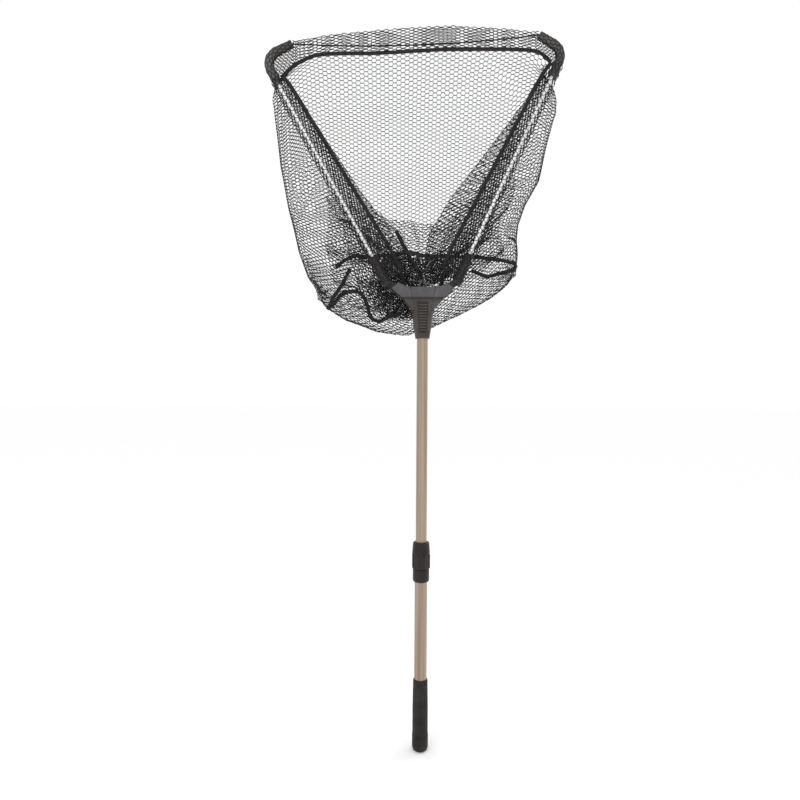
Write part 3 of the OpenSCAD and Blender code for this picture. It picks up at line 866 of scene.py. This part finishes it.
def round_edges(part, width):
    weld = part.modifiers.new("weld", "WELD")
    weld.merge_threshold = 0.01 * MM
    flat = part.modifiers.new("flat_faces", "DECIMATE")
    flat.decimate_type = "DISSOLVE"
    flat.angle_limit = math.radians(0.4)
    bevel = part.modifiers.new("round_edges", "BEVEL")
    bevel.width = width
    bevel.segments = 3
    bevel.limit_method = "ANGLE"
    bevel.angle_limit = math.radians(28)
    bevel.use_clamp_overlap = True
    bevel.harden_normals = True
    for face in part.data.polygons:
        face.use_smooth = True


def dress_frame():
    """Gives every CAD node its material, and softens the sharp edges of those in EDGE_ROUNDING."""
    slots = {part["node"]: part["material_slot"] for part in frame["record"]["subparts"]}
    for name, part in frame["nodes"].items():
        part.data.materials.clear()
        part.data.materials.append(LOOKS[NODE_LOOKS.get(name, slots[name])].material)
        if name in EDGE_ROUNDING:
            round_edges(part, EDGE_ROUNDING[name])


# ---- Soft pieces ----

# Angles are from straight up, about an arm's pivot
FAN_NEAR = 20 * MM                  # closer to the pivot, angles are taken as at this distance
FAN_HOLD = math.radians(50)         # net up to this far outside the arm's sleeve follows it fully
FAN_REST = math.radians(172)        # net from this angle on stays with the head
CORD_INSET = math.radians(3.4)      # at the cord, net this far inside the rod follows it fully
CORD_BELOW = 100 * MM               # that begins this far under the front sleeve ...
CORD_EASE = 70 * MM                 # ... and is complete after this height


def fan_weight(name, points):
    """How much each point follows the arm: none at the net's middle, all at the arm's sleeve."""
    arm = ARMS[name]
    across = points[:, 0] * arm.sign - abs(arm.pivot[0])
    up = points[:, 2] - arm.pivot[1]
    angle = np.arctan2(across, up)
    angle = np.where(angle < -math.pi / 2, angle + 2 * math.pi, angle)
    far = np.maximum(np.hypot(across, up), FAN_NEAR)
    middle = -np.arcsin(np.minimum(abs(arm.pivot[0]) / far, 1.0))
    edge_in = np.interp(far, [arm.hem_foot, arm.hem_top], arm.hem_inner) - TAPE_WIDTH - MM
    on_cord = smooth((points[:, 2] - HEM_FOOT[:, 1].min() + CORD_BELOW) / CORD_EASE)
    edge = arm.angle + np.arcsin(np.clip(edge_in / far, -0.9, 0.9))
    cord_edge = np.minimum(edge, arm.angle - CORD_INSET)
    edge = edge + (cord_edge - edge) * on_cord
    rising = np.clip((angle - middle) / (edge - middle), 0.0, 1.0)
    falling = np.clip((FAN_REST - angle) / (FAN_REST - edge - FAN_HOLD), 0.0, 1.0)
    return np.minimum(rising, falling)


def gathers(piece, name, slot, *nodes):
    """Bakes the piece, works out its fan weights for an arm, and hides the CAD nodes it covers."""
    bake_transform(piece)
    weight = fan_weight(name, mesh_points(piece.data)).astype(np.float32)
    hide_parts(*nodes)


BAG_NODES = ("bag_front_panel", "bag_side_panel", "bag_shoulder_panel", "bag_back_panel")


def make_bag(name):
    half = BAG[name]
    reach = (half.lengths.max(), half.down[-1])
    net = lattice(half.inside, half.place, np.zeros(2), reach)
    gathers(mesh_object(f"bag_{name}", net, NET), name, "mesh", *BAG_NODES)


SLEEVE_FOOT = 57 * MM       # where the sleeve starts along the arm, over the socket
SLEEVE_TUCK = 2.5 * MM      # the sleeve runs this far under its tape
SLEEVE_CLOSE = 0.62         # the net is pulled together across the sleeve ...
ROD_GAP = 5.0 * MM          # ... and opens by this much where it is stretched over the rod
SLEEVE_HALF = 5.0 * MM      # its half thickness on the rod ...
SOCKET_MORE = 6.4 * MM      # ... what the socket adds ...
ELBOW_MORE = 4.5 * MM       # ... and what the elbow's foot adds
ELBOW_BEND = 27 * MM        # radius of the elbow's bend, as in the CAD ...
ELBOW_LEG = 34 * MM         # ... and length of its straight leg
ELBOW_RADIUS = 8.9 * MM     # of the net round it
ELBOW_TAPER = 1.5 * MM      # the elbow is this much thinner at its open end ...
ELBOW_REACH = 35 * MM       # ... over its last, straight part
FRONT_HALF = 4.2 * MM       # half thickness of the front sleeve
FRONT_CLOSE = 0.70          # its net is pulled together downwards
FRONT_WIDE_SWAY = 2.4 * MM  # how far its cells sway to the sides ...
FRONT_TALL_SWAY = 1.6 * MM  # ... and up and down
CORD_COVER = 7.5 * MM       # the front sleeve's top above the cord's ends
WEB_HALF = 2.2 * MM         # half the distance between the two layers in the elbow's corner
WEB_FOOT = 9 * MM           # the web starts this far under the cord's end
WEB_SCALE = (0.85, 0.75)
WEB_TURN = 0.3
SEAM_AT = 0.34              # a row of stitches from the tape's middle, as a share of its width
BINDING_ROLL = 0.25         # most that a binding tape is rolled, in radians


def tube_height(v, half_thickness):
    return half_thickness * np.maximum(1 - np.abs(2 * v - 1) ** 3, 0.0) ** (1 / 3)


def make_arm_sleeve(name):
    """The net folded round socket and rod, front layer and back layer, and round the elbow."""
    arm = ARMS[name]
    foot, top = SLEEVE_FOOT, arm.cap_foot + CORNER_RISE[name]
    corner_inner = arm.rod_x - CORNER_INSET[name] + TAPE_GAP
    row = CELL_DOWN / 2
    on_rod = (arm.hem_outer - arm.rod_x - ROD_GAP / 2) / SLEEVE_CLOSE

    def width(z):
        beyond = np.clip((z - arm.hem_top) / (top - arm.hem_top), 0.0, 1.0)
        inner = arm.inner_edge(z) * (1 - beyond) + corner_inner * beyond
        return arm.hem_outer - inner + SLEEVE_TUCK

    def inside(p):
        flat_width = (width(p[:, 0]) - ROD_GAP) / SLEEVE_CLOSE
        return (p[:, 0] > foot) & (p[:, 0] < top) & (np.abs(p[:, 1]) < flat_width)

    def place(p):
        z, d = p[:, 0], np.abs(p[:, 1])
        inwards = d * SLEEVE_CLOSE + ROD_GAP * smooth((d - on_rod) / row + 0.5)
        flat = arm.world(np.stack([arm.hem_outer - inwards, z], 1))
        half = SLEEVE_HALF + SOCKET_MORE * smooth((arm.hem_foot + 6 * MM - z) / (10 * MM))
        half += ELBOW_MORE * smooth((z - arm.cap_foot + 6 * MM) / (8 * MM))
        y = tube_height(1 - inwards / width(z), half) * np.where(p[:, 1] > 0, -1, 1)
        return in_space(flat, y)

    origin = np.array([foot, on_rod + row / 2])
    reach = (top - foot, 3 * width(foot))
    net = joined([lattice(inside, place, origin, reach), elbow_net(arm)])
    piece = mesh_object(f"{name}_sleeve", net, NET)
    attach(piece, f"{name}_arm")
    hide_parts(f"{name}_hem")


def elbow_line(arm):
    """Centre line of the elbow, as [x, z], from its foot to its open end."""
    leg_top = arm.cap_foot + ELBOW_LEG
    centre = np.array([arm.rod_x - ELBOW_BEND, leg_top])
    end = arm.local(cord_end_point(arm.name)[[0, 2]])
    line = [[arm.rod_x, arm.cap_foot], [arm.rod_x, leg_top]]
    reach = end - centre
    turned = math.atan2(reach[1], reach[0]) - math.acos(ELBOW_BEND / np.linalg.norm(reach))
    for turn in np.linspace(0.0, turned, 12)[1:]:
        line.append(centre + ELBOW_BEND * np.array([math.cos(turn), math.sin(turn)]))
    line.append(end)
    return resampled(np.array(line), 120)


def elbow_net(arm):
    """The net drawn tight round the elbow."""
    line = elbow_line(arm)
    s = along_path(line)
    across = square_to(line)
    girth = 2 * math.pi * ELBOW_RADIUS
    rows = round(girth / CELL_DOWN)

    def inside(p):
        return (p[:, 0] > 0) & (p[:, 0] < s[-1]) & (p[:, 1] >= -1e-9) & (p[:, 1] < girth - 1e-9)

    def place(p):
        angle = p[:, 1] / ELBOW_RADIUS
        radius = ELBOW_RADIUS - ELBOW_TAPER * np.clip(1 - (s[-1] - p[:, 0]) / ELBOW_REACH, 0, 1)
        outwards = at_distance(across, s, p[:, 0]) * (np.cos(angle) * radius)[:, None]
        flat = arm.world(at_distance(line, s, p[:, 0]) + outwards)
        return in_space(flat, -np.sin(angle) * radius)

    return lattice(inside, place, np.zeros(2), (s[-1], girth),
                   scale=(1.0, girth / rows / CELL_DOWN))


def cap_inner_line(arm):
    """Inner side of the elbow, from the tape's corner to the elbow's end, as [x, z]."""
    line = elbow_line(arm)
    inner = line - square_to(line) * (ELBOW_RADIUS - MM)
    above = inner[:, 1] > arm.cap_foot + CORNER_RISE[arm.name] - 8 * MM
    return arm.world(inner[above][::6])


def cord_end_point(name):
    line = cord_line()
    return line[0] if name == "left" else line[-1]


def in_polygon(points, corners):
    hit = np.zeros(len(points), bool)
    x, z = points[:, 0], points[:, 1]
    for a, b in zip(corners, np.roll(corners, -1, axis=0)):
        spans = (a[1] > z) != (b[1] > z)
        run = (b[0] - a[0]) / (b[1] - a[1] if b[1] != a[1] else 1e-9)
        hit ^= spans & (x < a[0] + (z - a[1]) * run)
    return hit


def make_front_sleeve(name):
    """The net folded over the cord, and the web that fills the elbow's corner."""
    arm = ARMS[name]
    end = cord_end_point(name)
    top = np.vstack([HEM_TOP, [[end[0], end[2] + CORD_COVER]]])
    top = top[np.argsort(top[:, 0])]
    reach = abs(end[0]) - 1.5 * MM

    def lines(x):
        foot = tape_height(x) + TAPE_GAP - SLEEVE_TUCK
        return foot, np.interp(x, top[:, 0], top[:, 1])

    def inside(p):
        foot, high = lines(p[:, 0] * arm.sign)
        tall = high - foot
        return (p[:, 0] > 0) & (p[:, 0] < reach) & (p[:, 1] > 0) & (p[:, 1] < 2 * tall)

    def place(p):
        x = p[:, 0] * arm.sign
        foot, high = lines(x)
        v = p[:, 1] / (high - foot)
        front = v < 1
        v = np.where(front, v, 2 - v)
        y = tube_height(v, FRONT_HALF) * np.where(front, -1, 1)
        laid = in_space(np.stack([x, foot + v * (high - foot)], 1), y)
        free = smooth(p[:, 0] / (10 * MM)) * smooth((reach - p[:, 0]) / (10 * MM))
        laid[:, 0] += waves(laid, 22 * MM, 51) * FRONT_WIDE_SWAY * free * np.where(front, 1, -1)
        laid[:, 2] += waves(laid, 30 * MM, 52) * FRONT_TALL_SWAY * 4 * v * (1 - v) * free
        return laid

    sleeve = lattice(inside, place, np.zeros(2), (reach, 0.13), scale=(1.0, FRONT_CLOSE))

    inner = cap_inner_line(arm)
    tape_x = MOUTH_TOP[:, 0] * arm.sign
    near = MOUTH_TOP[(tape_x > reach) & (tape_x < abs(corner(arm)[0]) + MM)]
    near = near[np.argsort(-near[:, 0] * arm.sign)]
    side_x = arm.sign * reach
    side = [[side_x, lines(side_x)[0]], [side_x, end[2] - WEB_FOOT]]
    corners = np.vstack([near, side, inner[::-1]])
    layers = [sleeve]
    for y in (-WEB_HALF, WEB_HALF):
        # The origin moves with the layer, so that their cells don't lie over each other
        layers.append(lattice(lambda p: in_polygon(p, corners), lambda p, y=y: in_space(p, y),
                              corner(arm) + [y, 0.0], (0.1, 0.1), turn=WEB_TURN * arm.sign,
                              scale=WEB_SCALE))
    gathers(mesh_object(f"front_sleeve_{name}", joined(layers), NET), name, "mesh", "front_hem")


def sewn_tape(name, path, roll, thick=TAPE_THICK):
    """A binding tape with two rows of stitches on each face."""
    solid, across, through = ribbon(path, TAPE_WIDTH, thick, roll)
    tape = mesh_object(name, solid, TAPE)
    rows = []
    for offset in (-SEAM_AT * TAPE_WIDTH, SEAM_AT * TAPE_WIDTH):
        for lift in (-0.5 * thick, 0.5 * thick):
            rows.append(stitches(path, across, through, offset, lift))
    seam = mesh_object(f"{name}_stitches", joined(rows), THREAD)
    return tape, seam


def outer_half(line, sign, least=0.0):
    """One side of a line, from the middle outwards."""
    half = line[line[:, 0] * sign >= least]
    return half[np.argsort(half[:, 0] * sign)]


def lay_flat(line, count, sway, seed):
    """A line of the mouth as a slightly uneven path at the middle depth."""
    path = resampled(in_space(line), count)
    path[:, 2] += waves(path, 34 * MM, seed) * sway
    path[:, 1] += waves(path, 28 * MM, seed + 1) * sway * 0.6
    return path


# The side tape's end, which goes down behind the head: out from the middle, behind the head's
# rear face, above the wings' top
TAPE_END = np.array([[44, -13, 28], [40, -3, 12], [36, 2.5, 0], [26, 3, -10], [10, 2.5, -14]]) * MM


def side_tape_line(arm):
    """The side tape's path, from the elbow's corner to behind the head."""
    wing_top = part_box("head_cover")[1].z
    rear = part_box("head_body")[1].y
    side = lay_flat(MOUTH[arm.name], 220, 0.7 * MM, 11)
    side = side[side[:, 2] > wing_top + 34 * MM]
    end = TAPE_END * [arm.sign, 1, 1] + [0.0, rear, wing_top]
    end = rounded(np.vstack([side[-1:], end]), 60)
    return resampled(np.vstack([side, end[1:]]), 220)


def make_bindings(name):
    """One arm's binding tape, and its half of the front one."""
    arm = ARMS[name]
    side = side_tape_line(arm)
    for piece in sewn_tape(f"{name}_binding", side, waves(side, 40 * MM, 12) * BINDING_ROLL):
        gathers(piece, name, "tape", f"{name}_hem_tape")
    half = np.vstack([[[0.0, tape_height(0.0)]], outer_half(MOUTH_TOP, arm.sign)])
    top = lay_flat(half, 160, 0.9 * MM, 14)
    # Both halves start at one point and unrolled, so that they meet
    top[:, 2] += (half[0, 1] - top[0, 2]) * np.linspace(1, 0, len(top)) ** 8
    top[0, 1] = 0.0
    roll = waves(top, 40 * MM, 15) * BINDING_ROLL * smooth(np.linspace(0, 8, len(top)))
    for piece in sewn_tape(f"front_binding_{name}", top, roll):
        gathers(piece, name, "tape", "front_hem_tape")


CORD_RADIUS = 1.25 * MM
CORD_TIP = 7 * MM           # the cord runs this far on into the elbow


def make_cord(name):
    line = cord_line()
    middle = np.array([[0.0, 0.0, np.interp(0.0, line[:, 0], line[:, 2])]])
    half = outer_half(line, SIDES[name], 2 * MM)
    tip = half[-1] + (half[-1] - half[-2]) / np.linalg.norm(half[-1] - half[-2]) * CORD_TIP
    path = resampled(np.vstack([middle, half, [tip]]), 80)
    tangent = directions(path)
    across = level_across(tangent)
    through = np.cross(across, tangent)
    solid = sweep(path, across, through, round_ring(CORD_RADIUS, 10))
    gathers(mesh_object(f"cord_{name}", solid, CORD), name, "cord", "front_cord")


SPRING_TURNS = 6
SPRING_WIRE = 0.3 * MM      # radius


def make_slider_spring():
    """The thumb pad's return spring, squeezed between the head and the pad's lug."""
    low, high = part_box("slider_spring")
    middle = (low + high) / 2
    radius = (high.x - low.x) / 2 - SPRING_WIRE
    turn = np.linspace(0.0, 2 * math.pi * SPRING_TURNS, 24 * SPRING_TURNS)
    height = np.linspace(low.z + SPRING_WIRE, high.z - SPRING_WIRE, len(turn))
    outward = np.stack([np.cos(turn), np.sin(turn), np.zeros(len(turn))], 1)
    path = np.array([middle.x, middle.y, 0.0]) + outward * radius
    path[:, 2] = height
    through = np.cross(outward, directions(path))
    through /= np.linalg.norm(through, axis=1, keepdims=True)
    solid = sweep(path, outward, through, round_ring(SPRING_WIRE, 8))
    spring = mesh_object("return_spring", solid, LOOKS["steel"])
    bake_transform(spring)
    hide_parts("slider_spring")


# Tapes of the bag's foot: depth behind the front net, and points (x, z) along the seam, in mm
FOOT_SEAMS = {
    "panel_top": (6, [(-178, 969), (-156, 985), (-134, 992), (-108, 990), (-24, 997), (0, 992),
                      (40, 990), (105, 991), (152, 988), (186, 985), (195, 980), (191, 971),
                      (167, 963), (138, 953), (122, 956), (100, 964)]),
    "panel_left": (4, [(-148, 966), (-156, 948), (-166, 930), (-198, 887)]),
    "panel_foot": (4, [(-198, 889), (-180, 898), (-165, 914), (-139, 920), (-122, 911),
                       (-113, 893), (-105, 868), (-88, 861), (-70, 868), (-48, 875)]),
    "apex_tail": (12, [(-54, 1045), (-48, 1031), (-36, 1008), (-22, 983), (-8, 962), (-5, 950)]),
}
SEAM_STEPS = 90
SEAM_SMOOTHING = 9          # steps over which a seam's depth is evened out
SEAM_SWAY = 2.0 * MM
SEAM_ROLL = 0.8


def seam_path(points, lift, seed):
    """A seam's path on the inner side of the front net."""
    flat = rounded(np.array(points) / 1000, SEAM_STEPS)
    depth = [BAG["left" if x < 0 else "right"].surface_y(x, z) + lift * MM for x, z in flat]
    padded = np.pad(depth, SEAM_SMOOTHING // 2, mode="edge")
    kernel = np.ones(SEAM_SMOOTHING) / SEAM_SMOOTHING
    path = in_space(flat, np.convolve(padded, kernel, mode="valid"))
    path[:, 1] += waves(path, 20 * MM, seed) * SEAM_SWAY
    return path


def make_foot_seams():
    """Each seam is cut at the net's middle, into one piece for each half of the net."""
    for number, (label, (lift, points)) in enumerate(FOOT_SEAMS.items()):
        path = seam_path(points, lift, 20 + number)
        rolled = np.column_stack([path, waves(path, 30 * MM, 30 + number) * SEAM_ROLL])
        for name, sign in SIDES.items():
            part = path[:, 0] * sign > 0
            if not part.any():
                continue
            line = rolled[part]
            if not part.all():
                crossing = np.argmax(part[1:] != part[:-1])
                a, b = rolled[[crossing, crossing + 1]]
                middle = a + (b - a) * a[0] / (a[0] - b[0])
                line = np.vstack([line, middle] if part[0] else [middle, line])
            for piece in sewn_tape(f"seam_{label}_{name}", line[:, :3], line[:, 3], MM):
                gathers(piece, name, "tape", "bag_seam_tape")


# Sheets of slack net gathered inside the bag round the apex: depth in mm, and cell scale
SHEETS = {"wide": (36, 0.70), "folded": (48, 0.58), "bunch": (60, 0.47), "knot": (44, 0.42),
          "gather": (27, 0.42)}
# Their corners (x, z) on each side, in mm
SLACK = {
    "left": {
        "wide": [(-192, 1134), (-146, 1105), (-86, 1078), (-20, 1064), (0, 1062), (0, 866),
                 (-50, 858), (-112, 874), (-154, 896), (-182, 938), (-196, 996), (-198, 1064)],
        "folded": [(-176, 1090), (-120, 1050), (-60, 1010), (0, 1004), (0, 872), (-50, 866),
                   (-98, 880), (-124, 908), (-150, 990)],
        "bunch": [(-100, 990), (-60, 1000), (0, 996), (0, 880), (-48, 874), (-88, 884),
                  (-116, 920)],
        "knot": [(-88, 958), (-30, 950), (0, 900), (-20, 866), (-74, 872), (-94, 920)],
        "gather": [(-82, 984), (-40, 992), (0, 988), (0, 930), (-50, 934), (-70, 955)],
    },
    "right": {
        "wide": [(0, 1062), (30, 1058), (64, 1074), (106, 1116), (150, 1180), (196, 1290),
                 (206, 1270), (188, 1150), (160, 1050), (172, 992), (124, 960), (62, 938),
                 (0, 905)],
        "folded": [(0, 1004), (50, 1010), (110, 1060), (150, 1120), (140, 1040), (110, 985),
                   (60, 950), (0, 930)],
        "bunch": [(0, 996), (50, 1000), (76, 980), (50, 950), (0, 935)],
        "gather": [(0, 988), (44, 986), (62, 966), (46, 942), (0, 930)],
    },
}
PLEATS = 17                 # folds of the slack net in one radian round the apex
PLEAT_WAVER = 3.0           # how far they waver, in radians of a fold's own wave
PLEAT_LEAN = 0.55           # how far the net leans along them, in the same
PLEAT_DEEP = 6 * MM
SHEET_DRIFT = 9 * MM
PLEATS_GROW = 70 * MM       # they have their full depth this far from the apex
MIDDLE_HELD = 4 * MM        # net this near to the middle is drawn to it
SHEET_TURN = 0.35           # each sheet's cells are turned by this much more, in radians
SLACK_REACH = (0.28, 0.4)   # no sheet reaches further from the apex


def make_slack(name, label, number):
    """A sheet of slack net in pleats that spread from the apex."""
    depth, scale = SHEETS[label]
    corners = np.array(SLACK[name][label]) / 1000

    def place(p):
        rel = p - APEX
        far = np.linalg.norm(rel, axis=1)
        angle = np.arctan2(rel[:, 0], rel[:, 1])
        drift = waves(in_space(p), 70 * MM, 40 + number)
        phase = PLEATS * angle + PLEAT_WAVER * drift
        angle += PLEAT_LEAN / PLEATS * np.sin(phase)
        opened = smooth(far / PLEATS_GROW)
        y = depth * MM + (PLEAT_DEEP * np.cos(phase) + SHEET_DRIFT * drift) * opened
        x = APEX[0] + far * np.sin(angle)
        z = APEX[1] + far * np.cos(angle)
        return np.stack([x * smooth(np.abs(p[:, 0]) / MIDDLE_HELD), y, z], 1)

    net = lattice(lambda p: in_polygon(p, corners), place, APEX, SLACK_REACH,
                  turn=SHEET_TURN * SIDES[name] * (1 + number), scale=(scale, scale))
    gathers(mesh_object(f"slack_{label}_{name}", net, NET), name, "mesh", *BAG_NODES)


for side_name in SIDES:
    make_bag(side_name)
    for order, sheet in enumerate(SLACK[side_name]):
        make_slack(side_name, sheet, order)
    make_arm_sleeve(side_name)
    make_front_sleeve(side_name)
    make_bindings(side_name)
    make_cord(side_name)
make_foot_seams()
make_slider_spring()
dress_frame()


# ---- Floor, light and camera ----

def make_floor():
    """A wide pale studio floor."""
    verts = np.array([(-30.0, -30.0, 0.0), (30.0, -30.0, 0.0), (30.0, 60.0, 0.0),
                      (-30.0, 60.0, 0.0)])
    look = Look("floor", 0.95, specular=0.1)
    paper = look.noise(8.0, 4.0, 0.55)
    look.paint(paper, (0.3, (0.985, 0.985, 0.985)), (0.7, (1.0, 1.0, 1.0)), convert=list)
    floor = mesh_object("floor", (verts, [np.array([[0, 1, 2, 3]])]), look)


def area_light(name, place, size, power, aim):
    light = bpy.data.lights.new(name, "AREA")
    light.shape = "RECTANGLE"
    light.size, light.size_y = size
    light.energy = power
    lamp = bpy.data.objects.new(name, light)
    lamp.location = place
    lamp.rotation_euler = (Vector(aim) - Vector(place)).to_track_quat("-Z", "Y").to_euler()
    bpy.context.scene.collection.objects.link(lamp)


def make_lights():
    """An even white studio with one large soft key from the front left."""
    world = bpy.data.worlds.new("studio")
    world.use_nodes = True
    world.node_tree.nodes["Background"].inputs["Color"].default_value = (1, 1, 1, 1)
    world.node_tree.nodes["Background"].inputs["Strength"].default_value = 1.0
    bpy.context.scene.world = world
    area_light("key", (-1.4, -2.2, 2.4), (1.4, 1.4), 14, (0, 0, 0.9))
    area_light("rim", (1.8, 1.2, 1.8), (1.2, 1.2), 8, (0, 0, 1.0))


def make_camera():
    """Level, near the middle of the net's height, looking along +Y."""
    lens = bpy.data.cameras.new("camera")
    lens.lens = 27.0
    lens.sensor_width = 36.0
    camera = bpy.data.objects.new("camera", lens)
    camera.location = (-0.044, -1.2, 0.698)
    camera.rotation_euler = (math.radians(90), math.radians(-0.35), 0)
    bpy.context.scene.collection.objects.link(camera)
    bpy.context.scene.camera = camera
    bpy.context.scene.view_settings.view_transform = "Standard"


make_floor()
make_lights()
make_camera()
